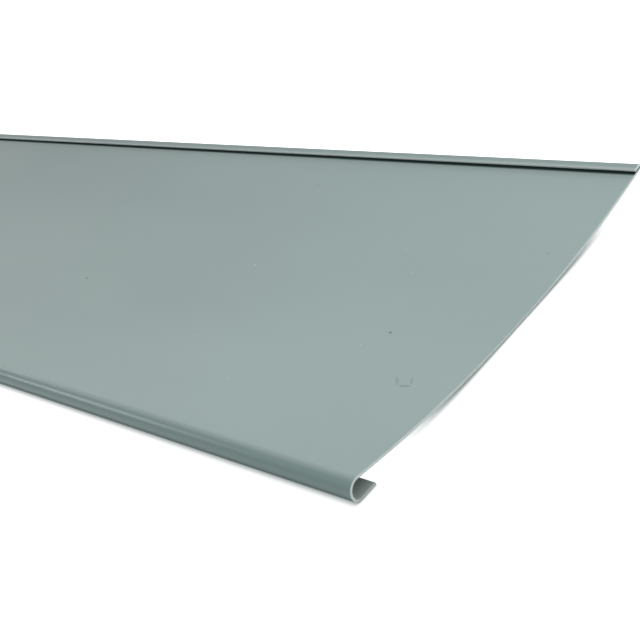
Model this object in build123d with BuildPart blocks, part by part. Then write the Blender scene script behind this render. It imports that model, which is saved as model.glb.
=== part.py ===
"""Eaves drip edge strip: one length of extruded plastic sheet profile, open bead in front, folded hem behind.

Frame, millimetres: +X runs along the strip, +Y from the bead at the front to the hem at the back, +Z up.
The origin is at the middle of the strip's length and width, on the level floor the strip lies on.
"""

import os
from math import atan, cos, degrees, radians, sin, sqrt

from build123d import *

# Overall stock size
strip_length = 2000.0
strip_width = 250.0
wall = 1.2

# Open bead along the front edge. Its outside is a wide arc over the top and front, then a tighter heel that
# takes over this many degrees below the bead's axis, then a flat flange that returns under the web.
bead_radius = 6.5
heel_radius = 4.4
heel_angle = 17.0
flange_reach = 14.6

# Hem along the back edge: the sheet folded up and forward over itself
hem_width = 5.8
hem_gap = 0.9

# Small radius left on the corners of the sheet's two free edges
edge_radius = 0.2


def direction(angle):
    """Unit vector in the section, the angle in degrees from +Y towards +Z."""
    return Vector(cos(radians(angle)), sin(radians(angle)))


level = direction(0)
up = direction(90)
wall_half = wall / 2

# Middle surfaces of the bends
bead_bend = bead_radius - wall_half
hem_bend = (hem_gap + wall) / 2

# The heel stands on the floor, inside the wide arc and tangent to it
heel_rise = (bead_radius - heel_radius) * sin(radians(heel_angle))
bead_axis = Vector(-strip_width / 2 + bead_radius, heel_radius + heel_rise)
heel_axis = bead_axis + direction(180 + heel_angle) * (bead_radius - heel_radius)

# The web between bead and hem is one shallow dished arc. It leaves the top of the bead on a common tangent,
# its lowest line lies in the plane of the flange's underside, and it is as high at the hem as at the bead.
# Those conditions and the overall width fix its half-angle, which settles in a few rounds.
reach = strip_width / 2 - wall_half - hem_bend - bead_axis.X
drop = bead_axis.Y - wall_half
dish_angle = 0.0
for step in range(40):
    rise = bead_bend * cos(dish_angle) + drop
    dish_angle = 2 * atan(2 * rise / (reach - (bead_bend - hem_bend) * sin(dish_angle)))
dish_radius = (bead_bend * cos(dish_angle) + drop) / (1 - cos(dish_angle))
dish_angle = degrees(dish_angle)

dish_axis = bead_axis + direction(90 - dish_angle) * (bead_bend + dish_radius)
hem_axis = dish_axis + direction(dish_angle - 90) * (dish_radius - hem_bend)

# Along and square to the sheet where the hem starts; the lip comes back parallel to the sheet
along = direction(dish_angle)
square = direction(dish_angle + 90)
lip_length = hem_width - hem_bend - wall_half


def bend(axis, radius, start, end):
    """Arc about an axis line of the section, between two directions in degrees."""
    middle = (start + end) / 2
    ThreePointArc(*(axis + direction(angle) * radius for angle in (start, middle, end)))


def free_edge(first, second, inward):
    """The sheet's free edge from one corner to the other, both corners rounded."""
    across = (second - first).normalized() * edge_radius
    inward = inward * edge_radius
    ThreePointArc(first + inward, first + (inward + across) * (1 - sqrt(0.5)), first + across)
    Line(first + across, second - across)
    ThreePointArc(second - across, second + (inward - across) * (1 - sqrt(0.5)), second + inward)


# Corners of the two free edges, before rounding
flange_bottom = Vector(-strip_width / 2 + flange_reach, 0)
flange_top = flange_bottom + up * wall
lip_inner = hem_axis + square * (hem_bend - wall_half) - along * lip_length
lip_outer = lip_inner + square * wall

with BuildPart() as drip_edge_strip:
    with BuildSketch(Plane.YZ.offset(-strip_length / 2)) as section:
        with BuildLine() as outline:
            # Underside of the flange, then round the heel and over the front of the bead
            Line(flange_bottom - level * edge_radius, heel_axis - up * heel_radius)
            bend(heel_axis, heel_radius, 270, 180 + heel_angle)
            bend(bead_axis, bead_radius, 180 + heel_angle, 90 - dish_angle)
            # Upper face of the web, the inside of the hem's fold, and the lip's face towards the web
            bend(dish_axis, dish_radius - wall_half, 270 - dish_angle, 270 + dish_angle)
            bend(hem_axis, hem_bend - wall_half, dish_angle - 90, dish_angle + 90)
            Line(hem_axis + square * (hem_bend - wall_half), lip_inner + along * edge_radius)
            free_edge(lip_inner, lip_outer, along)
            # Top of the lip, the outside of the fold, and the underside of the web
            Line(lip_outer + along * edge_radius, hem_axis + square * (hem_bend + wall_half))
            bend(hem_axis, hem_bend + wall_half, dish_angle + 90, dish_angle - 90)
            bend(dish_axis, dish_radius + wall_half, 270 + dish_angle, 270 - dish_angle)
            # Inside of the bead and heel, then the top of the flange out to its free edge
            bend(bead_axis, bead_radius - wall, 90 - dish_angle, 180 + heel_angle)
            bend(heel_axis, heel_radius - wall, 180 + heel_angle, 270)
            Line(heel_axis - up * (heel_radius - wall), flange_top - level * edge_radius)
            free_edge(flange_top, flange_bottom, -level)
        make_face()
    extrude(amount=strip_length)
drip_edge_strip.part.label = "drip_edge_strip"

os.makedirs("parts", exist_ok=True)
export_step(drip_edge_strip.part, "parts/drip_edge_strip.step")

print("dish radius", round(dish_radius, 2), "half-angle", round(dish_angle, 3))
print("bead axis", bead_axis, "heel axis", heel_axis, "hem axis", hem_axis)
print("box", drip_edge_strip.part.bounding_box())
print("volume", round(drip_edge_strip.part.volume), "mass kg", round(drip_edge_strip.part.volume * 1.4e-6, 3))
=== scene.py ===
# %% [markdown]
# # An eaves drip edge strip, cut from two metres of stock
#
# The real thing is one sheet of grey-green plastic, 1.2 mm thick, drawn through a die and folded while warm.
# Its front edge rolls over into an open bead that throws the rain clear, and its back edge is hemmed.
# This lesson loads the measured solid as a fixed frame, sweeps a finer strip over it, gives it a satin skin
# and paler sawn ends, and sets it on a white floor under a few soft lamps.

from math import atan, cos, degrees, pi, radians, sin

import bpy
from mathutils import Matrix, Vector


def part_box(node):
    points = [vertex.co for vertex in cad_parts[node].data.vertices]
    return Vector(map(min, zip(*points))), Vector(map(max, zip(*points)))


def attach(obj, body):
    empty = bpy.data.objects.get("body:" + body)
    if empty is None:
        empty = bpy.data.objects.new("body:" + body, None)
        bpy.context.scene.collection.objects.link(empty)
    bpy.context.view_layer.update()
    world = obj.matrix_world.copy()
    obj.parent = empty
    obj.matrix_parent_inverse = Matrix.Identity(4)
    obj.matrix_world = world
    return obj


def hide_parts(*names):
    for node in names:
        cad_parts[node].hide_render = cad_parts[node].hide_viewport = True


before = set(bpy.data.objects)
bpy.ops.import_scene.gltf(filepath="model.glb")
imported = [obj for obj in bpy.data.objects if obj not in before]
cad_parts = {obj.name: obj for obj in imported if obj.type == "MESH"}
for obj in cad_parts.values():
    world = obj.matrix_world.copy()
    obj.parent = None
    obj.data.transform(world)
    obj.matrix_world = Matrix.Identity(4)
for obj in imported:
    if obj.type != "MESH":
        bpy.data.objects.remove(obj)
bpy.context.view_layer.update()
low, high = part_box("drip_edge_strip")
print("the solid reaches from", tuple(low), "to", tuple(high))

# %% [markdown]
# ## The section of the sheet
#
# Seen from its sawn end, the strip is a line of tangent bends: a flat flange, a tight heel, the wide bead,
# a web that is dished like a very shallow gutter, and a hem. A maker of such a profile gives the bend radii,
# and everything else follows from them. So the section is worked out here from those few radii and from the
# width of the frame, and its bends are true arcs, cut into short steps.

# %% Sizes of the section
mm = 0.001
strip_length = high.x - low.x
strip_width = high.y - low.y
wall = 1.2 * mm
bead_radius = 6.5 * mm
heel_radius = 4.4 * mm
heel_angle = 17.0
flange_reach = 14.6 * mm
hem_width = 5.8 * mm
hem_gap = 0.9 * mm
edge_radius = 0.2 * mm


def direction(angle):
    """Unit vector in the section as (y, z), the angle in degrees from +Y towards +Z."""
    return Vector((cos(radians(angle)), sin(radians(angle))))


# %% [markdown]
# The web has to leave the bead and enter the hem without a kink. Its arc touches the floor plane at its
# lowest line and is equally high at both ends. Those conditions fix its radius, found here in a few rounds.

# %% Axes of the bends
wall_half = wall / 2
bead_bend = bead_radius - wall_half
hem_bend = (hem_gap + wall) / 2
heel_rise = (bead_radius - heel_radius) * sin(radians(heel_angle))
bead_axis = Vector((-strip_width / 2 + bead_radius, heel_radius + heel_rise))
heel_axis = bead_axis + direction(180 + heel_angle) * (bead_radius - heel_radius)

reach = strip_width / 2 - wall_half - hem_bend - bead_axis.x
drop = bead_axis.y - wall_half
dish_angle = 0.0
for rounds in range(40):
    rise = bead_bend * cos(dish_angle) + drop
    dish_angle = 2 * atan(2 * rise / (reach - (bead_bend - hem_bend) * sin(dish_angle)))
dish_radius = (bead_bend * cos(dish_angle) + drop) / (1 - cos(dish_angle))
dish_angle = degrees(dish_angle)
dish_axis = bead_axis + direction(90 - dish_angle) * (bead_bend + dish_radius)
hem_axis = dish_axis + direction(dish_angle - 90) * (dish_radius - hem_bend)
print("web radius", round(dish_radius / mm, 1), "mm, half-angle", round(dish_angle, 2), "degrees")

# %% [markdown]
# A bend is a run of points round an axis. Straight stretches need no points of their own, because the
# outline joins the end of one bend to the start of the next. The free edges have a tiny corner radius,
# which is what catches a line of light on a real strip.

# %% Walk round the outline
finest_step = 0.35 * mm
web_step = 3.0 * mm


def bend(axis, radius, start, end, step=finest_step):
    """Points of an arc about an axis, from one direction to another in degrees."""
    steps = max(3, round(abs(radians(end - start)) * radius / step))
    return [axis + direction(start + (end - start) * i / steps) * radius for i in range(steps + 1)]


def rounded_edge(first, second, facing):
    """Two small corner bends of a free edge that faces a direction, walked anticlockwise."""
    across = (second - first).normalized() * edge_radius
    inward = -direction(facing) * edge_radius
    return (bend(first + inward + across, edge_radius, facing - 90, facing)
            + bend(second + inward - across, edge_radius, facing, facing + 90))


flange_bottom = Vector((-strip_width / 2 + flange_reach, 0))
flange_top = flange_bottom + direction(90) * wall
square = direction(dish_angle + 90)
lip_inner = (hem_axis + square * (hem_bend - wall_half)
             - direction(dish_angle) * (hem_width - hem_bend - wall_half))
lip_outer = lip_inner + square * wall

outline = [
    *bend(heel_axis, heel_radius, 270, 180 + heel_angle),
    *bend(bead_axis, bead_radius, 180 + heel_angle, 90 - dish_angle)[1:],
    *bend(dish_axis, dish_radius - wall_half, 270 - dish_angle, 270 + dish_angle, web_step),
    *bend(hem_axis, hem_bend - wall_half, dish_angle - 90, dish_angle + 90)[1:],
    *reversed(rounded_edge(lip_outer, lip_inner, dish_angle + 180)),
    *bend(hem_axis, hem_bend + wall_half, dish_angle + 90, dish_angle - 90),
    *bend(dish_axis, dish_radius + wall_half, 270 + dish_angle, 270 - dish_angle, web_step)[1:],
    *bend(bead_axis, bead_radius - wall, 90 - dish_angle, 180 + heel_angle),
    *bend(heel_axis, heel_radius - wall, 180 + heel_angle, 270)[1:],
    *reversed(rounded_edge(flange_bottom, flange_top, 0)),
]
print("the outline has", len(outline), "points")

# %% [markdown]
# ## Sweeping the strip
#
# A drawn profile is its section carried along a straight line, so this is a job for Geometry Nodes: one
# curve for the section, one line for the length, and Curve to Mesh between them. The tree's inputs are the
# length and the number of stations along it, and a saw cut at each end gets its own material, chosen by the
# direction its face looks in. Mesh code could do the same, but here the length stays one number to turn.

# %% [markdown]
# The section is laid down in reverse, which makes the faces of the sweep look outwards.

# %% The section as a closed curve
section_curve = bpy.data.curves.new("strip_section", "CURVE")
section_curve.dimensions = "2D"
section_curve.fill_mode = "NONE"
spline = section_curve.splines.new("POLY")
spline.points.add(len(outline) - 1)
for point, place in zip(spline.points, reversed(outline)):
    point.co = (place.x, place.y, 0, 1)
spline.use_cyclic_u = True
section = bpy.data.objects.new("strip_section", section_curve)
bpy.context.scene.collection.objects.link(section)

# %% [markdown]
# The finishes are made empty here and filled in below, because the tree hands them to the faces.

# %% Two finishes, still empty
skin = bpy.data.materials.new("satin_skin")
sawn = bpy.data.materials.new("sawn_end")


# %% [markdown]
# Node trees are long when every node takes five lines. Two helpers keep them readable: one makes a node with
# its settings and links, the other is a single sum or comparison of two values.

# %% Helpers for nodes
def add_node(tree, kind, **settings):
    """One node, with plain settings, and inputs given by name in a dictionary called inputs."""
    inputs = settings.pop("inputs", {})
    node = tree.nodes.new(kind)
    for name, value in settings.items():
        setattr(node, name, value)
    for name, value in inputs.items():
        if hasattr(value, "is_linked"):
            tree.links.new(value, node.inputs[name])
        else:
            node.inputs[name].default_value = value
    return node


def sum_of(tree, operation, first, second=0.0):
    """The outcome of one Math node on two sockets or numbers."""
    return add_node(tree, "ShaderNodeMath", operation=operation, inputs={0: first, 1: second}).outputs[0]


# %% [markdown]
# The tree itself: a line is cut into stations, Curve to Mesh carries the section along it and closes both
# ends, and every face whose normal lies along X is a saw cut.

# %% A tree that draws a section along a line
cut_facing = 0.9


def drawn_profile_tree():
    """Section curve, length and stations in; a closed strip with sawn ends out."""
    tree = bpy.data.node_groups.new("drawn_profile", "GeometryNodeTree")
    for name, kind in (("Section", "NodeSocketObject"), ("Length", "NodeSocketFloat"),
                       ("Stations", "NodeSocketInt"), ("Skin", "NodeSocketMaterial"),
                       ("Sawn end", "NodeSocketMaterial")):
        tree.interface.new_socket(name, in_out="INPUT", socket_type=kind)
    tree.interface.new_socket("Strip", in_out="OUTPUT", socket_type="NodeSocketGeometry")
    given = add_node(tree, "NodeGroupInput").outputs

    half = sum_of(tree, "MULTIPLY", given["Length"], 0.5)
    near_end = add_node(tree, "ShaderNodeCombineXYZ", inputs={"X": half})
    far_end = add_node(tree, "ShaderNodeCombineXYZ", inputs={"X": sum_of(tree, "MULTIPLY", half, -1.0)})
    line = add_node(tree, "GeometryNodeCurvePrimitiveLine",
                    inputs={"Start": far_end.outputs[0], "End": near_end.outputs[0]})
    stations = add_node(tree, "GeometryNodeResampleCurve",
                        inputs={"Curve": line.outputs[0], "Count": given["Stations"]})
    upright = add_node(tree, "GeometryNodeSetCurveTilt", inputs={"Curve": stations.outputs[0], "Tilt": pi})
    shape = add_node(tree, "GeometryNodeObjectInfo", inputs={"Object": given["Section"]})
    sweep = add_node(tree, "GeometryNodeCurveToMesh",
                     inputs={"Curve": upright.outputs[0], "Profile Curve": shape.outputs["Geometry"],
                             "Fill Caps": True})

    facing = add_node(tree, "GeometryNodeInputNormal")
    along = add_node(tree, "ShaderNodeSeparateXYZ", inputs={0: facing.outputs[0]})
    size = sum_of(tree, "ABSOLUTE", along.outputs["X"])
    is_cut = add_node(tree, "FunctionNodeCompare", operation="GREATER_THAN", inputs={0: size, 1: cut_facing})
    whole = add_node(tree, "GeometryNodeRealizeInstances", inputs={0: sweep.outputs[0]})
    skinned = add_node(tree, "GeometryNodeSetMaterial",
                       inputs={"Geometry": whole.outputs[0], "Material": given["Skin"]})
    finished = add_node(tree, "GeometryNodeSetMaterial",
                        inputs={"Geometry": skinned.outputs[0], "Selection": is_cut.outputs[0],
                                "Material": given["Sawn end"]})
    result = tree.nodes.new("NodeGroupOutput")
    tree.links.new(finished.outputs[0], result.inputs["Strip"])
    return tree


# %% [markdown]
# The tree runs once on an empty carrier. Its evaluated result is copied to a plain mesh, which is the piece
# that stays: it sits at the origin, unturned and unscaled, and has no modifier left.

# %% Run the tree once and keep a plain mesh
stations = 41


def run_tree(tree, name, **inputs):
    """The mesh that a tree makes from these inputs, as an object at the origin with no modifier."""
    carrier = bpy.data.objects.new(name + "_carrier", bpy.data.meshes.new(name + "_carrier"))
    bpy.context.scene.collection.objects.link(carrier)
    modifier = carrier.modifiers.new(name, "NODES")
    modifier.node_group = tree
    sockets = {item.name: item.identifier for item in tree.interface.items_tree if item.in_out == "INPUT"}
    for label, value in inputs.items():
        modifier[sockets[label.replace("_", " ")]] = value
    depsgraph = bpy.context.evaluated_depsgraph_get()
    mesh = bpy.data.meshes.new_from_object(carrier.evaluated_get(depsgraph), depsgraph=depsgraph)
    bpy.data.objects.remove(carrier)
    piece = bpy.data.objects.new(name, mesh)
    mesh.name = name
    bpy.context.scene.collection.objects.link(piece)
    return piece


strip = run_tree(drawn_profile_tree(), "drip_edge_strip_finish", Section=section, Length=strip_length,
                 Stations=stations, Skin=skin, Sawn_end=sawn)
mesh = strip.data
lowest = [min(v.co[i] for v in mesh.vertices) for i in range(3)]
highest = [max(v.co[i] for v in mesh.vertices) for i in range(3)]
print("the sweep reaches from", lowest, "to", highest, "with", len(mesh.polygons), "faces")
print("materials", [m.name for m in mesh.materials])
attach(strip, "root")
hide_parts("drip_edge_strip")

bpy.data.objects.remove(section)

# %% [markdown]
# Faces meet smoothly round the bends and sharply at the saw cuts, so the whole strip is shaded smooth and
# every edge steeper than a fixed angle is marked sharp.

# %% Smooth bends, sharp cuts
sharp_angle = 35.0
mesh.shade_smooth()
mesh.set_sharp_from_angle(angle=radians(sharp_angle))
print("sharp edges", sum(edge.use_edge_sharp for edge in mesh.edges))

# %% [markdown]
# ## The satin skin
#
# Plastic that has been through a die is never quite plain. It has fine lines from the die on its tight bends,
# a cloudy change of tone where the sheet cooled unevenly, a little dust, and handling marks. Light and shade
# are painted onto it too: a painted sheen on the faces that look up, painted shade along the bead's lowest
# line and in the hem, painted light in the open bead, and painted highlights on the hem's lip and beside the
# saw cuts, where the plastic also whitens. Each of these is a small node group with named inputs and one mask
# or more as its outputs, so it can be tried at another strength or in another material. All of them read
# Object coordinates, in metres.

# %% Helpers for node groups
def start_group(name, inputs, outputs):
    """An empty shader group with named sockets; returns the tree, its inputs and a function that ends it."""
    tree = bpy.data.node_groups.new(name, "ShaderNodeTree")
    for label, value in inputs.items():
        kind = "NodeSocketVector" if isinstance(value, tuple) else "NodeSocketFloat"
        tree.interface.new_socket(label, in_out="INPUT", socket_type=kind).default_value = value
    for label in outputs:
        tree.interface.new_socket(label, in_out="OUTPUT", socket_type="NodeSocketFloat")
    given = add_node(tree, "NodeGroupInput").outputs
    result = tree.nodes.new("NodeGroupOutput")

    def put_out(**values):
        for label, socket in values.items():
            tree.links.new(socket, result.inputs[label])
        print("group", name, "puts out", list(values))
        return tree

    return tree, given, put_out


def ramp(tree, value, start, end, soft=False, low=0.0, high=1.0):
    """A value led from one range to another, held at its ends, in a straight line or softly."""
    kind = "SMOOTHSTEP" if soft else "LINEAR"
    return add_node(tree, "ShaderNodeMapRange", interpolation_type=kind,
                    inputs={"Value": value, "From Min": start, "From Max": end,
                            "To Min": low, "To Max": high}).outputs[0]


def parts_of(tree, vector):
    """The X, Y and Z of a vector, by name."""
    return add_node(tree, "ShaderNodeSeparateXYZ", inputs={0: vector}).outputs


# %% [markdown]
# The die leaves lines that run the whole length. Noise does this when its space is squeezed across the strip
# and drawn out along it: many changes per metre in Y and Z, hardly any in X.

# %% Lines from the die
def die_lines_group():
    """Noise drawn out along X, so that it reads as fine lines on every bend of the sheet."""
    tree, given, put_out = start_group("die_lines", {"Vector": (0, 0, 0), "Lines per metre": 700.0,
                                                     "Changes per metre": 1.5}, ["Lines"])
    scale = add_node(tree, "ShaderNodeCombineXYZ",
                     inputs={"X": given["Changes per metre"], "Y": given["Lines per metre"],
                             "Z": given["Lines per metre"]})
    drawn = add_node(tree, "ShaderNodeVectorMath", operation="MULTIPLY",
                     inputs={0: given["Vector"], 1: scale.outputs[0]})
    noise = add_node(tree, "ShaderNodeTexNoise", inputs={"Vector": drawn.outputs[0], "Scale": 1.0,
                                                         "Detail": 1.5, "Roughness": 0.5})
    return put_out(Lines=noise.outputs[0])


die_lines = die_lines_group()


# %% [markdown]
# A sheet that cools on rollers has broad soft patches, longer along the strip than across it. The noise is
# spread from its narrow middle range to the whole range from 0 to 1, so that a material can use it directly.

# %% Cloudy tone
def cloudy_tone_group():
    """Broad soft patches, longer along the strip than across it, from 0 to 1."""
    tree, given, put_out = start_group("cloudy_tone", {"Vector": (0, 0, 0), "Patches per metre": 9.0,
                                                       "Stretch": (0.35, 1.0, 1.0), "Low": 0.3, "High": 0.7},
                                       ["Tone"])
    longer = add_node(tree, "ShaderNodeVectorMath", operation="MULTIPLY",
                      inputs={0: given["Vector"], 1: given["Stretch"]})
    noise = add_node(tree, "ShaderNodeTexNoise", inputs={"Vector": longer.outputs[0],
                                                         "Scale": given["Patches per metre"],
                                                         "Detail": 3.0, "Roughness": 0.45})
    return put_out(Tone=ramp(tree, noise.outputs[0], given["Low"], given["High"]))


cloudy_tone = cloudy_tone_group()


# %% [markdown]
# Dust could be scattered as tiny meshes, but grains far smaller than a millimetre are cheaper as a mask. A
# cell pattern gives every cell a random number, and only the few cells above a limit hold a round grain.

# %% Dust
def dust_group():
    """Sparse round grains: only cells with a high random number hold one."""
    tree, given, put_out = start_group("dust", {"Vector": (0, 0, 0), "Cells per metre": 160.0,
                                                "Share empty": 0.985, "Grain": 0.05}, ["Dust"])
    cells = add_node(tree, "ShaderNodeTexVoronoi", inputs={"Vector": given["Vector"],
                                                           "Scale": given["Cells per metre"]})
    chance = add_node(tree, "ShaderNodeSeparateColor", inputs={0: cells.outputs["Color"]})
    held = sum_of(tree, "GREATER_THAN", chance.outputs[0], given["Share empty"])
    inside = ramp(tree, cells.outputs["Distance"], 0.0, given["Grain"], low=1.0, high=0.0)
    return put_out(Dust=sum_of(tree, "MULTIPLY", held, inside))


dust = dust_group()


# %% [markdown]
# Specks, scuffs and nicks have places of their own. One group makes a soft oval at a place, turned about the
# vertical, and the material uses it once for each mark.

# %% A mark at one place
def mark_group():
    """A soft oval spot at a place on the strip, with its half-sizes, turned about the vertical."""
    tree, given, put_out = start_group("mark", {"Vector": (0, 0, 0), "Place": (0, 0, 0),
                                                "Half size": (0.001, 0.001, 1.0), "Turn": 0.0,
                                                "Solid part": 0.45}, ["Spot"])
    offset = add_node(tree, "ShaderNodeVectorMath", operation="SUBTRACT",
                      inputs={0: given["Vector"], 1: given["Place"]})
    straight = add_node(tree, "ShaderNodeVectorRotate", rotation_type="Z_AXIS",
                        inputs={"Vector": offset.outputs[0],
                                "Angle": sum_of(tree, "MULTIPLY", given["Turn"], -1.0)})
    share = add_node(tree, "ShaderNodeVectorMath", operation="DIVIDE",
                     inputs={0: straight.outputs[0], 1: given["Half size"]})
    distance = add_node(tree, "ShaderNodeVectorMath", operation="LENGTH", inputs={0: share.outputs[0]})
    return put_out(Spot=ramp(tree, distance.outputs["Value"], given["Solid part"], 1.0, soft=True,
                             low=1.0, high=0.0))


mark = mark_group()


# %% [markdown]
# Plastic whitens for a fraction of a millimetre beside a saw cut, and the cut's corner catches a line of
# light,
# so the skin there is painted paler: partly real whitening, partly a painted highlight. The mask is the depth
# from the end, with its reach made ragged by a fine noise.

# %% Whitening and painted highlight beside the saw cut
def cut_blush_group():
    """1 at the saw cut, falling to 0 inside the strip."""
    tree, given, put_out = start_group("cut_blush", {"Vector": (0, 0, 0), "Half length": 1.0,
                                                     "Reach": 0.0006, "Changes per metre": 1800.0}, ["Blush"])
    # Whitening and a painted highlight, strongest right at the cut.
    along = sum_of(tree, "ABSOLUTE", parts_of(tree, given["Vector"])["X"])
    depth = sum_of(tree, "SUBTRACT", given["Half length"], along)
    ragged = add_node(tree, "ShaderNodeTexNoise", inputs={"Vector": given["Vector"],
                                                          "Scale": given["Changes per metre"]})
    reach_here = sum_of(tree, "MULTIPLY", ragged.outputs[0], given["Reach"])
    twice = sum_of(tree, "MULTIPLY", reach_here, 2.0)
    return put_out(Blush=ramp(tree, depth, 0.0, twice, low=1.0, high=0.0))


cut_blush = cut_blush_group()


# %% [markdown]
# Every face that looks up is painted paler, a painted sheen of the light from above, while the bead's front,
# which turns away from it, keeps a darker, greener colour. The upward part of the normal tells the two apart.

# %% Painted sheen on the faces that look up
def bloom_group():
    """Painted sheen on faces that look up: 1 on the web and the lip, 0 where the bead rolls over."""
    tree, given, put_out = start_group("bloom", {"Normal": (0, 0, 0), "Start": 0.90, "Full": 0.983},
                                       ["Bloom"])
    # Painted sheen: the more a face looks up, the paler it is painted.
    upward = parts_of(tree, given["Normal"])["Z"]
    return put_out(Bloom=ramp(tree, upward, given["Start"], given["Full"], soft=True))


bloom = bloom_group()


# %% [markdown]
# Rain runs down the bead's front and hangs at its lowest line before it drops. That line is painted dark,
# a painted shade where the bead comes down to the floor, and a band a little above it is painted darker and
# made duller, on the outside only, which is the side that faces forward.

# %% Painted shade along the bead's lowest line
def drip_line_group():
    """Painted shade along the lowest part of the bead's front, and a darker, duller band above it."""
    tree, given, put_out = start_group("drip_line", {"Vector": (0, 0, 0), "Normal": (0, 0, 0), "Line": -0.118,
                                                     "Grime top": 0.0042, "Grime full": 0.0019,
                                                     "Film top": 0.0075, "Film full": 0.0035},
                                       ["Grime", "Film"])
    place = parts_of(tree, given["Vector"])
    in_front = sum_of(tree, "LESS_THAN", place["Y"], given["Line"])
    outside = sum_of(tree, "LESS_THAN", parts_of(tree, given["Normal"])["Y"], 0.0)
    wetted = sum_of(tree, "MULTIPLY", in_front, outside)
    # Painted shade: darker low on the bead's front, strongest at its lowest line.
    bands = {}
    for name in ("Grime", "Film"):
        low_down = ramp(tree, place["Z"], given[name + " top"], given[name + " full"], soft=True)
        bands[name] = sum_of(tree, "MULTIPLY", wetted, low_down)
    return put_out(**bands)


drip_line = drip_line_group()


# %% [markdown]
# In the open bead, on the flange and up the inner side of the bend, the colour is painted paler: a painted
# light that lifts the shade there. The same two questions find those faces: where they are, and which way
# they face.

# %% Painted light in the open bead
def bead_inside_group():
    """1 on the bead's inner faces and on the flange, 0 on the outside of the strip."""
    tree, given, put_out = start_group("bead_inside", {"Vector": (0, 0, 0), "Normal": (0, 0, 0),
                                                       "Back": -0.1103, "Top": 0.0105, "Full": 0.0070,
                                                       "Inner facing": -0.1}, ["Dusty"])
    # Painted light: paler on the bead's inner faces and on the flange, low down.
    place = parts_of(tree, given["Vector"])
    in_bead = sum_of(tree, "LESS_THAN", place["Y"], given["Back"])
    inner = sum_of(tree, "GREATER_THAN", parts_of(tree, given["Normal"])["Y"], given["Inner facing"])
    low_down = ramp(tree, place["Z"], given["Top"], given["Full"], soft=True)
    faces = sum_of(tree, "MULTIPLY", in_bead, inner)
    return put_out(Dusty=sum_of(tree, "MULTIPLY", faces, low_down))


bead_inside = bead_inside_group()


# %% [markdown]
# The hem has four zones: the fold's inside and a band of web before its mouth, painted dark as painted shade;
# a lip whose top is painted darker towards the back, a painted shade; the front part of that top, painted
# paler as a painted highlight; and the pale cut edge of the sheet. All four are measured from the axis of the
# fold, level with the lip, as shares of the lip's length: 0 at the axis, -1 at the lip's front edge.

# %% The fold and its lip
def fold_group():
    """Painted shade in a folded hem and on its lip, a painted highlight, and the pale edge, from the fold's
    axis.
    """
    zones = {"Mouth start": -1.55, "Mouth full": -1.25, "Fold back": 0.2, "Lip start": -1.0, "Lip full": 0.4,
             "Wear full": -1.05, "Wear end": -0.5, "Lip front": -1.1, "Edge back": -0.98,
             "Edge lowest": 0.0003}
    tree, given, put_out = start_group("hem_fold", {"Vector": (0, 0, 0), "Axis": (0, 0, 0), "Turn": 0.0,
                                                    "Depth": 0.004, "Gap": 0.001, **zones},
                                       ["Inside", "Lip", "Worn", "Edge"])
    offset = add_node(tree, "ShaderNodeVectorMath", operation="SUBTRACT",
                      inputs={0: given["Vector"], 1: given["Axis"]})
    level = add_node(tree, "ShaderNodeVectorRotate", rotation_type="X_AXIS",
                     inputs={"Vector": offset.outputs[0], "Angle": given["Turn"]})
    part = parts_of(tree, level.outputs[0])
    share = sum_of(tree, "DIVIDE", part["Y"], given["Depth"])
    behind_front = sum_of(tree, "GREATER_THAN", share, given["Lip front"])

    # Painted shade inside the fold and on the web in front of its mouth.
    in_gap = sum_of(tree, "LESS_THAN", sum_of(tree, "ABSOLUTE", part["Z"]), given["Gap"])
    past_mouth = ramp(tree, share, given["Mouth start"], given["Mouth full"])
    before_back = sum_of(tree, "LESS_THAN", share, given["Fold back"])
    inside = sum_of(tree, "MULTIPLY", sum_of(tree, "MULTIPLY", in_gap, past_mouth), before_back)

    on_top = sum_of(tree, "GREATER_THAN", part["Z"], given["Gap"])
    # Painted shade: the lip's top is painted darker towards the back.
    backward = ramp(tree, share, given["Lip start"], given["Lip full"])
    lip = sum_of(tree, "MULTIPLY", on_top, backward)

    # Painted highlight: the front part of the lip's top is painted paler.
    forward = ramp(tree, share, given["Wear full"], given["Wear end"], low=1.0, high=0.0)
    worn = sum_of(tree, "MULTIPLY", sum_of(tree, "MULTIPLY", on_top, behind_front), forward)

    at_front = sum_of(tree, "LESS_THAN", share, given["Edge back"])
    upper = sum_of(tree, "GREATER_THAN", part["Z"], given["Edge lowest"])
    edge = sum_of(tree, "MULTIPLY", sum_of(tree, "MULTIPLY", at_front, behind_front), upper)
    return put_out(Inside=inside, Lip=lip, Worn=worn, Edge=edge)


hem_fold = fold_group()


# %% [markdown]
# In a material, masks lead from one colour to the next. These helpers place a group, mix two colours by a
# mask, scale a mask and add two of them.

# %% Helpers for the materials
def use_group(tree, group, **inputs):
    """A group placed in a material, its inputs given by name with underscores for spaces."""
    node = tree.nodes.new("ShaderNodeGroup")
    node.node_tree = group
    for label, value in inputs.items():
        socket = node.inputs[label.replace("_", " ")]
        if hasattr(value, "is_linked"):
            tree.links.new(value, socket)
        else:
            socket.default_value = value
    return node.outputs


def tint(tree, mask, below, above):
    """A colour between two, led by a mask."""
    mix = add_node(tree, "ShaderNodeMix", data_type="RGBA")
    tree.links.new(mask, mix.inputs["Factor"])
    for name, value in (("A_Color", below), ("B_Color", above)):
        socket = next(item for item in mix.inputs if item.identifier == name)
        if hasattr(value, "is_linked"):
            tree.links.new(value, socket)
        else:
            socket.default_value = (*value, 1.0)
    return next(item for item in mix.outputs if item.identifier == "Result_Color")


def scaled(tree, value, gain, offset=0.0):
    """A mask times a gain plus an offset."""
    node = add_node(tree, "ShaderNodeMath", operation="MULTIPLY_ADD", inputs={0: value, 1: gain, 2: offset})
    return node.outputs[0]


def total(tree, first, second):
    """The sum of two masks."""
    return sum_of(tree, "ADD", first, second)


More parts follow.
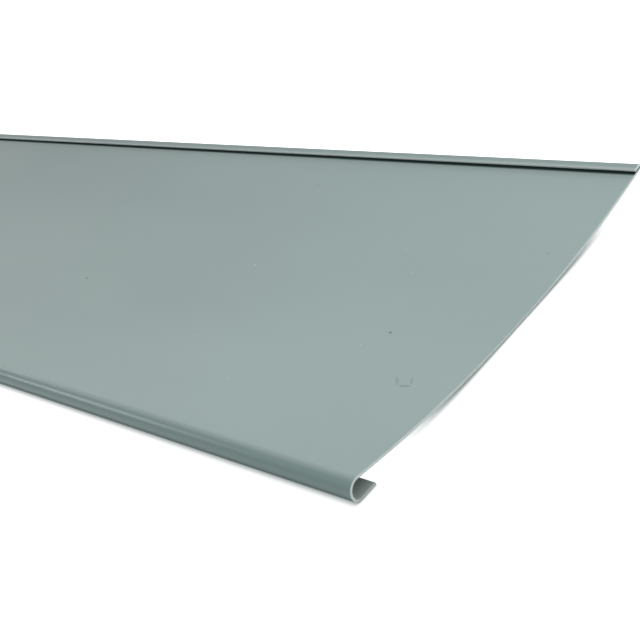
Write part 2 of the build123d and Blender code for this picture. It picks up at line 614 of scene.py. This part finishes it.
# %% [markdown]
# The marks are few and each has a place on the web: four dark specks, seven small paler scuffs, and one nick
# where a square tool touched the sheet, made of three strokes. A speck or a scuff is named here by its place
# along X and across Y and by its half-size in metres, with its strength last. A stroke has a half-length, a
# half-width and a turn in degrees.

# %% Places of the marks
dark_specks = {
    "speck_middle": (0.9338, -0.0195, 0.0010, 0.95),
    "speck_left": (0.6573, -0.0228, 0.0013, 0.6),
    "speck_right": (0.9836, 0.0553, 0.0008, 0.35),
    "speck_top": (0.7800, 0.0938, 0.0012, 0.2),
}
pale_scuffs = {
    "scuff_middle": (0.7918, 0.0159, 0.0012, 0.5),
    "scuff_right": (0.8925, 0.0452, 0.0014, 0.2),
    "scuff_left": (0.8106, -0.0522, 0.0013, 0.25),
    "scuff_near": (0.9240, -0.0322, 0.0011, 0.35),
    "scuff_low": (0.8675, -0.0786, 0.0016, 0.15),
    "scuff_high": (0.9105, 0.0281, 0.0013, 0.2),
    "scuff_end": (0.9195, 0.0022, 0.0010, 0.15),
}
nick_strokes = {
    "bar": (0.9728, -0.0543, 0.0042, 0.0011, 16.0, 0.55),
    "left": (0.9661, -0.0522, 0.0050, 0.0012, 132.0, 0.34),
    "right": (0.9736, -0.0500, 0.0044, 0.0011, 127.0, 0.32),
}
print("marks:", len(dark_specks), "specks,", len(pale_scuffs), "scuffs and a nick of", len(nick_strokes))


# %% [markdown]
# Every later layer covers the earlier ones by its own strength: first the sheet's own tone and the painted
# sheen on faces that look up, then the die lines, dust and marks, then the zones of the hem and the bead,
# mostly painted light and shade, and last the whitening and painted highlight at the saw cuts. A colour that
# a zone is led to is listed beside that zone's strength.

# %% Colours and strengths of the skin
skin_colour = (0.305, 0.385, 0.376)
skin_shade = (0.280, 0.357, 0.350)
# Painted shade: the faces that turn away from the light keep this darker, greener colour.
clean_colour = (0.262, 0.368, 0.358)
line_colour = (0.20, 0.27, 0.262)
nick_colour = (0.17, 0.22, 0.215)
speck_colour = (0.10, 0.12, 0.12)
scuff_colour = (0.46, 0.52, 0.51)
dust_strength = 0.35
lines_on_bead = 0.3
lines_on_lip = 0.6
# The hem's zones are painted shade inside the fold and on the lip's back, and a painted highlight on the
# lip's front.
hem_zones = {
    "Lip": ((0.19, 0.25, 0.24), 0.7),
    "Worn": ((0.50, 0.57, 0.56), 0.7),
    "Inside": ((0.005, 0.020, 0.017), 0.96),
}
edge_colour = (0.70, 0.76, 0.75)
# Painted shade low on the bead's front, on its lowest line and on the duller band above it.
grime_colour = (0.10, 0.135, 0.13)
film_strength = 0.3
grime_strength = 0.9
# Painted light inside the open bead.
dusty_colour = (0.55, 0.57, 0.535)
dusty_strength = 0.45
# Paler beside the saw cuts: real whitening and a painted highlight.
blush_colour = (0.62, 0.66, 0.65)
blush_strength = 0.65
skin_gloss = 0.12
skin_roughness = 0.18
cloudy_roughness = 0.04
dull_roughness = 0.6
fine_bumps = 2500.0
fine_height = 0.5
fine_strength = 0.05
bump_distance = 0.1 * mm


# %% [markdown]
# The gloss is one plain value on the shader's own socket. Where the skin is dull, low on the bead's front and
# inside the fold, the roughness says so, because an export keeps a roughness that changes over the surface
# and not a gloss that does.

# %% Fill the skin
def fill_skin(material):
    """Skin: tone, painted sheen, die lines, dust, marks, painted light and shade, whitening and painted
    highlights.
    """
    material.use_nodes = True
    tree = material.node_tree
    shader = tree.nodes["Principled BSDF"]
    coordinates = add_node(tree, "ShaderNodeTexCoord").outputs
    place = coordinates["Object"]
    facing = coordinates["Normal"]
    lines = use_group(tree, die_lines, Vector=place)["Lines"]
    clouds = use_group(tree, cloudy_tone, Vector=place)["Tone"]
    grains = use_group(tree, dust, Vector=place)["Dust"]
    blush = use_group(tree, cut_blush, Vector=place, Half_length=strip_length / 2)["Blush"]
    settled = use_group(tree, bloom, Normal=facing)["Bloom"]
    water = use_group(tree, drip_line, Vector=place, Normal=facing)
    dusty = use_group(tree, bead_inside, Vector=place, Normal=facing)["Dusty"]
    fold = use_group(tree, hem_fold, Vector=place, Axis=(0, *hem_axis), Turn=radians(-dish_angle),
                     Depth=hem_width - hem_bend - wall_half, Gap=wall_half + hem_gap / 2)

    colour = tint(tree, clouds, skin_shade, skin_colour)
    # Painted sheen: the faces that look up are painted paler.
    colour = tint(tree, settled, clean_colour, colour)
    on_bead = scaled(tree, settled, -lines_on_bead, lines_on_bead)
    tight_bends = total(tree, on_bead, scaled(tree, fold["Lip"], lines_on_lip))
    colour = tint(tree, sum_of(tree, "MULTIPLY", lines, tight_bends), colour, line_colour)
    colour = tint(tree, scaled(tree, grains, dust_strength), colour, scuff_colour)
    for marks, mark_colour in ((pale_scuffs, scuff_colour), (dark_specks, speck_colour)):
        for x, y, size, depth in marks.values():
            spot = use_group(tree, mark, Vector=place, Place=(x, y, 0), Half_size=(size, size, 1.0))["Spot"]
            colour = tint(tree, scaled(tree, spot, depth), colour, mark_colour)
    for x, y, half_length, half_width, turn, depth in nick_strokes.values():
        stroke = use_group(tree, mark, Vector=place, Place=(x, y, 0), Turn=radians(turn),
                           Half_size=(half_length, half_width, 1.0))["Spot"]
        colour = tint(tree, scaled(tree, stroke, depth), colour, nick_colour)
    # Painted shade in the fold and on the lip's back, painted highlight on the lip's front.
    for zone, (zone_colour, strength) in hem_zones.items():
        colour = tint(tree, scaled(tree, fold[zone], strength), colour, zone_colour)
    # Painted shade on the band above the bead's lowest line, and then on that line.
    colour = tint(tree, scaled(tree, water["Film"], film_strength), colour, grime_colour)
    colour = tint(tree, scaled(tree, water["Grime"], grime_strength), colour, grime_colour)
    # Painted light: the inside of the open bead is painted paler.
    colour = tint(tree, scaled(tree, dusty, dusty_strength), colour, dusty_colour)
    colour = tint(tree, fold["Edge"], colour, edge_colour)
    # Whitening and a painted highlight beside the saw cuts.
    colour = tint(tree, scaled(tree, blush, blush_strength), colour, blush_colour)
    tree.links.new(colour, shader.inputs["Base Color"])

    roughness = scaled(tree, clouds, cloudy_roughness, skin_roughness)
    for dull in (water["Film"], fold["Inside"]):
        roughness = total(tree, roughness, scaled(tree, dull, dull_roughness))
    tree.links.new(roughness, shader.inputs["Roughness"])
    shader.inputs["Specular IOR Level"].default_value = skin_gloss

    fine = add_node(tree, "ShaderNodeTexNoise", inputs={"Vector": place, "Scale": fine_bumps, "Detail": 2.0})
    bump = add_node(tree, "ShaderNodeBump", inputs={"Height": scaled(tree, fine.outputs[0], fine_height),
                                                    "Strength": fine_strength, "Distance": bump_distance})
    tree.links.new(bump.outputs[0], shader.inputs["Normal"])
    print("the skin has", len(tree.nodes), "nodes")


fill_skin(skin)

# %% [markdown]
# ## The sawn end
#
# A saw tears plastic instead of polishing it, so a cut end is paler and duller than the skin, with fine
# parallel scratches. The scratches are noise squeezed across the saw's path.

# %% Fill the sawn end
sawn_colour = (0.555, 0.635, 0.615)
sawn_shade = (0.48, 0.555, 0.535)
saw_tilt = 62.0
scratch_squeeze = (1.0, 300.0, 5000.0)
scratch_share = 0.6
cloud_share = 0.4
sawn_patches = 120.0
sawn_roughness = 0.6
scratch_roughness = 0.2
scratch_strength = 0.3


def fill_sawn(material):
    """Pale, dull plastic with fine saw scratches."""
    material.use_nodes = True
    tree = material.node_tree
    shader = tree.nodes["Principled BSDF"]
    place = add_node(tree, "ShaderNodeTexCoord").outputs["Object"]
    turned = add_node(tree, "ShaderNodeMapping", inputs={"Vector": place,
                                                         "Rotation": (radians(saw_tilt), 0, 0)})
    squeezed = add_node(tree, "ShaderNodeVectorMath", operation="MULTIPLY",
                        inputs={0: turned.outputs[0], 1: scratch_squeeze})
    scratches = add_node(tree, "ShaderNodeTexNoise", inputs={"Vector": squeezed.outputs[0], "Scale": 1.0,
                                                             "Detail": 3.0})
    clouds = use_group(tree, cloudy_tone, Vector=place, Patches_per_metre=sawn_patches)["Tone"]
    mottled = total(tree, scaled(tree, scratches.outputs[0], scratch_share),
                    scaled(tree, clouds, cloud_share))
    tree.links.new(tint(tree, mottled, sawn_shade, sawn_colour), shader.inputs["Base Color"])
    roughness = scaled(tree, scratches.outputs[0], scratch_roughness, sawn_roughness)
    tree.links.new(roughness, shader.inputs["Roughness"])
    bump = add_node(tree, "ShaderNodeBump", inputs={"Height": scratches.outputs[0],
                                                    "Strength": scratch_strength, "Distance": bump_distance})
    tree.links.new(bump.outputs[0], shader.inputs["Normal"])
    print("the sawn end has", len(tree.nodes), "nodes")


fill_sawn(sawn)

# %% [markdown]
# ## Floor, lamps and camera
#
# A catalogue picture of stock like this has no horizon: the floor is white paper that keeps only a thin
# shadow close to the strip. The paper is matt and lit by the lamps, and it also shows itself white to the
# camera and to reflections, without lighting the strip. Two Ambient Occlusion nodes take that white away
# near the strip. One looks straight up and shades the paper a few millimetres from anything low over it. The
# other leans back along the strip, so that its shade falls in front of the cut end. In the shade the paper
# takes on a trace of the strip's green.

# %% The floor
floor_half = 6.0
paper_white = (0.90, 0.90, 0.90)
unlit = (0.0, 0.0, 0.0)
white = (1.0, 1.0, 1.0)
shade_tone = (0.84, 1.0, 0.99)
occlusion_samples = 8
shade_reach = 0.005
open_above = 0.55
least_glow = 0.20
end_reach = 0.0065
end_lean = (-0.7, 0.0, 0.7)
end_closed = 0.20
end_open = 0.80
end_glow = 0.50
lit_from = 0.55
lit_fully = 0.95


def seen_directly(tree):
    """1 for camera, glossy and transmission rays, 0 for the light that reaches the strip."""
    rays = add_node(tree, "ShaderNodeLightPath").outputs
    either = sum_of(tree, "MAXIMUM", rays["Is Camera Ray"], rays["Is Glossy Ray"])
    return sum_of(tree, "MAXIMUM", either, rays["Is Transmission Ray"])


def fill_paper(material):
    """White paper, lit by the lamps and showing itself white where it lies open."""
    material.use_nodes = True
    tree = material.node_tree
    tree.nodes.remove(tree.nodes["Principled BSDF"])
    output = tree.nodes["Material Output"]
    above = add_node(tree, "ShaderNodeAmbientOcclusion", samples=occlusion_samples,
                     inputs={"Distance": shade_reach})
    lean = add_node(tree, "ShaderNodeCombineXYZ", inputs=dict(zip("XYZ", end_lean)))
    leaning = add_node(tree, "ShaderNodeAmbientOcclusion", samples=occlusion_samples,
                       inputs={"Distance": end_reach, "Normal": lean.outputs[0]})
    lit = ramp(tree, leaning.outputs["AO"], lit_from, lit_fully)
    paper = add_node(tree, "ShaderNodeBsdfDiffuse", inputs={"Color": tint(tree, lit, unlit, paper_white)})
    from_above = ramp(tree, above.outputs["AO"], 0.0, open_above, low=least_glow)
    at_the_end = ramp(tree, leaning.outputs["AO"], end_closed, end_open, low=end_glow)
    glow = sum_of(tree, "MULTIPLY", from_above, at_the_end)
    seen = sum_of(tree, "MULTIPLY", glow, seen_directly(tree))
    light = add_node(tree, "ShaderNodeEmission", inputs={"Color": tint(tree, glow, shade_tone, white),
                                                         "Strength": seen})
    both = add_node(tree, "ShaderNodeAddShader", inputs={0: paper.outputs[0], 1: light.outputs[0]})
    tree.links.new(both.outputs[0], output.inputs["Surface"])


floor_mesh = bpy.data.meshes.new("floor")
corners = [(-floor_half, -floor_half, 0), (floor_half, -floor_half, 0),
           (floor_half, floor_half, 0), (-floor_half, floor_half, 0)]
floor_mesh.from_pydata(corners, [], [(0, 1, 2, 3)])
floor = bpy.data.objects.new("floor", floor_mesh)
bpy.context.scene.collection.objects.link(floor)
paper = bpy.data.materials.new("white_paper")
fill_paper(paper)
floor_mesh.materials.append(paper)
print("the floor is", 2 * floor_half, "m square")

# %% [markdown]
# Wide soft lamps stand behind and above the near end, so the web is palest there. A weak one at the end
# lights the saw cut and the inside of the bead, and another in front of the strip draws the thin streak of
# light along the bead. One hangs over the far half. A dim white surrounding fills the shadows, and the world
# shows itself white to the camera and to reflections. Each lamp has its place, the point that it looks at,
# its side in metres and its power in watts.

# %% Surrounding and lamps
surrounding = 0.27
near_end = Vector((0.95, 0.0, 0.0))
lamps = {
    "back_lamp": (Vector((0.9, 0.9, 0.35)), near_end, 0.4, 4.15),
    "corner_lamp": (Vector((1.4, 0.6, 0.5)), near_end, 0.5, 2.7),
    "top_lamp": (Vector((0.95, 0.1, 0.7)), near_end, 0.5, 1.9),
    "far_lamp": (Vector((-0.75, 0.1, 0.7)), Vector((-0.75, 0.0, 0.0)), 0.5, 2.4),
    "end_lamp": (Vector((1.9, -0.15, 0.4)), Vector((1.0, -0.05, 0.0)), 0.3, 1.75),
    "streak_lamp": (Vector((-0.25, -0.62, 0.55)), Vector((0.8, -0.12, 0.0)), 0.3, 1.9),
}

world = bpy.data.worlds.new("white_room")
bpy.context.scene.world = world
world.use_nodes = True
background = world.node_tree.nodes["Background"]
strength = ramp(world.node_tree, seen_directly(world.node_tree), 0.0, 1.0, low=surrounding)
world.node_tree.links.new(strength, background.inputs["Strength"])
background.inputs["Color"].default_value = (1, 1, 1, 1)


def soft_lamp(name, place, aim, side, power):
    """A square lamp at a place, looking at a point on the strip."""
    data = bpy.data.lights.new(name, "AREA")
    data.shape = "SQUARE"
    data.size = side
    data.energy = power
    lamp = bpy.data.objects.new(name, data)
    bpy.context.scene.collection.objects.link(lamp)
    lamp.location = place
    lamp.rotation_euler = (aim - place).to_track_quat("-Z", "Y").to_euler()


for name, (place, aim, side, power) in lamps.items():
    soft_lamp(name, place, aim, side, power)
print("lamps", list(lamps))

# %% [markdown]
# The camera looks down on the near end of the strip from its front corner, and it is turned about its own
# line of sight, which is why the bead runs downhill across the picture.

# %% Camera
camera_place = Vector((1.36291, -0.34624, 0.33484))
camera_aim = Vector((0.89135, -0.02646, 0.008))
camera_roll = -25.45
camera_lens = 70.03
camera_sensor = 36.0
nearest_seen = 0.01

camera_data = bpy.data.cameras.new("camera")
camera_data.sensor_fit = "HORIZONTAL"
camera_data.sensor_width = camera_sensor
camera_data.lens = camera_lens
camera_data.clip_start = nearest_seen
camera = bpy.data.objects.new("camera", camera_data)
bpy.context.scene.collection.objects.link(camera)
sight = (camera_aim - camera_place).to_track_quat("-Z", "Y").to_matrix()
turned = sight @ Matrix.Rotation(radians(camera_roll), 3, "Z")
camera.matrix_world = Matrix.Translation(camera_place) @ turned.to_4x4()
bpy.context.scene.camera = camera
bpy.context.scene.view_settings.view_transform = "Standard"
print("the camera is", round((camera_aim - camera_place).length, 3), "m from the point that it looks at")
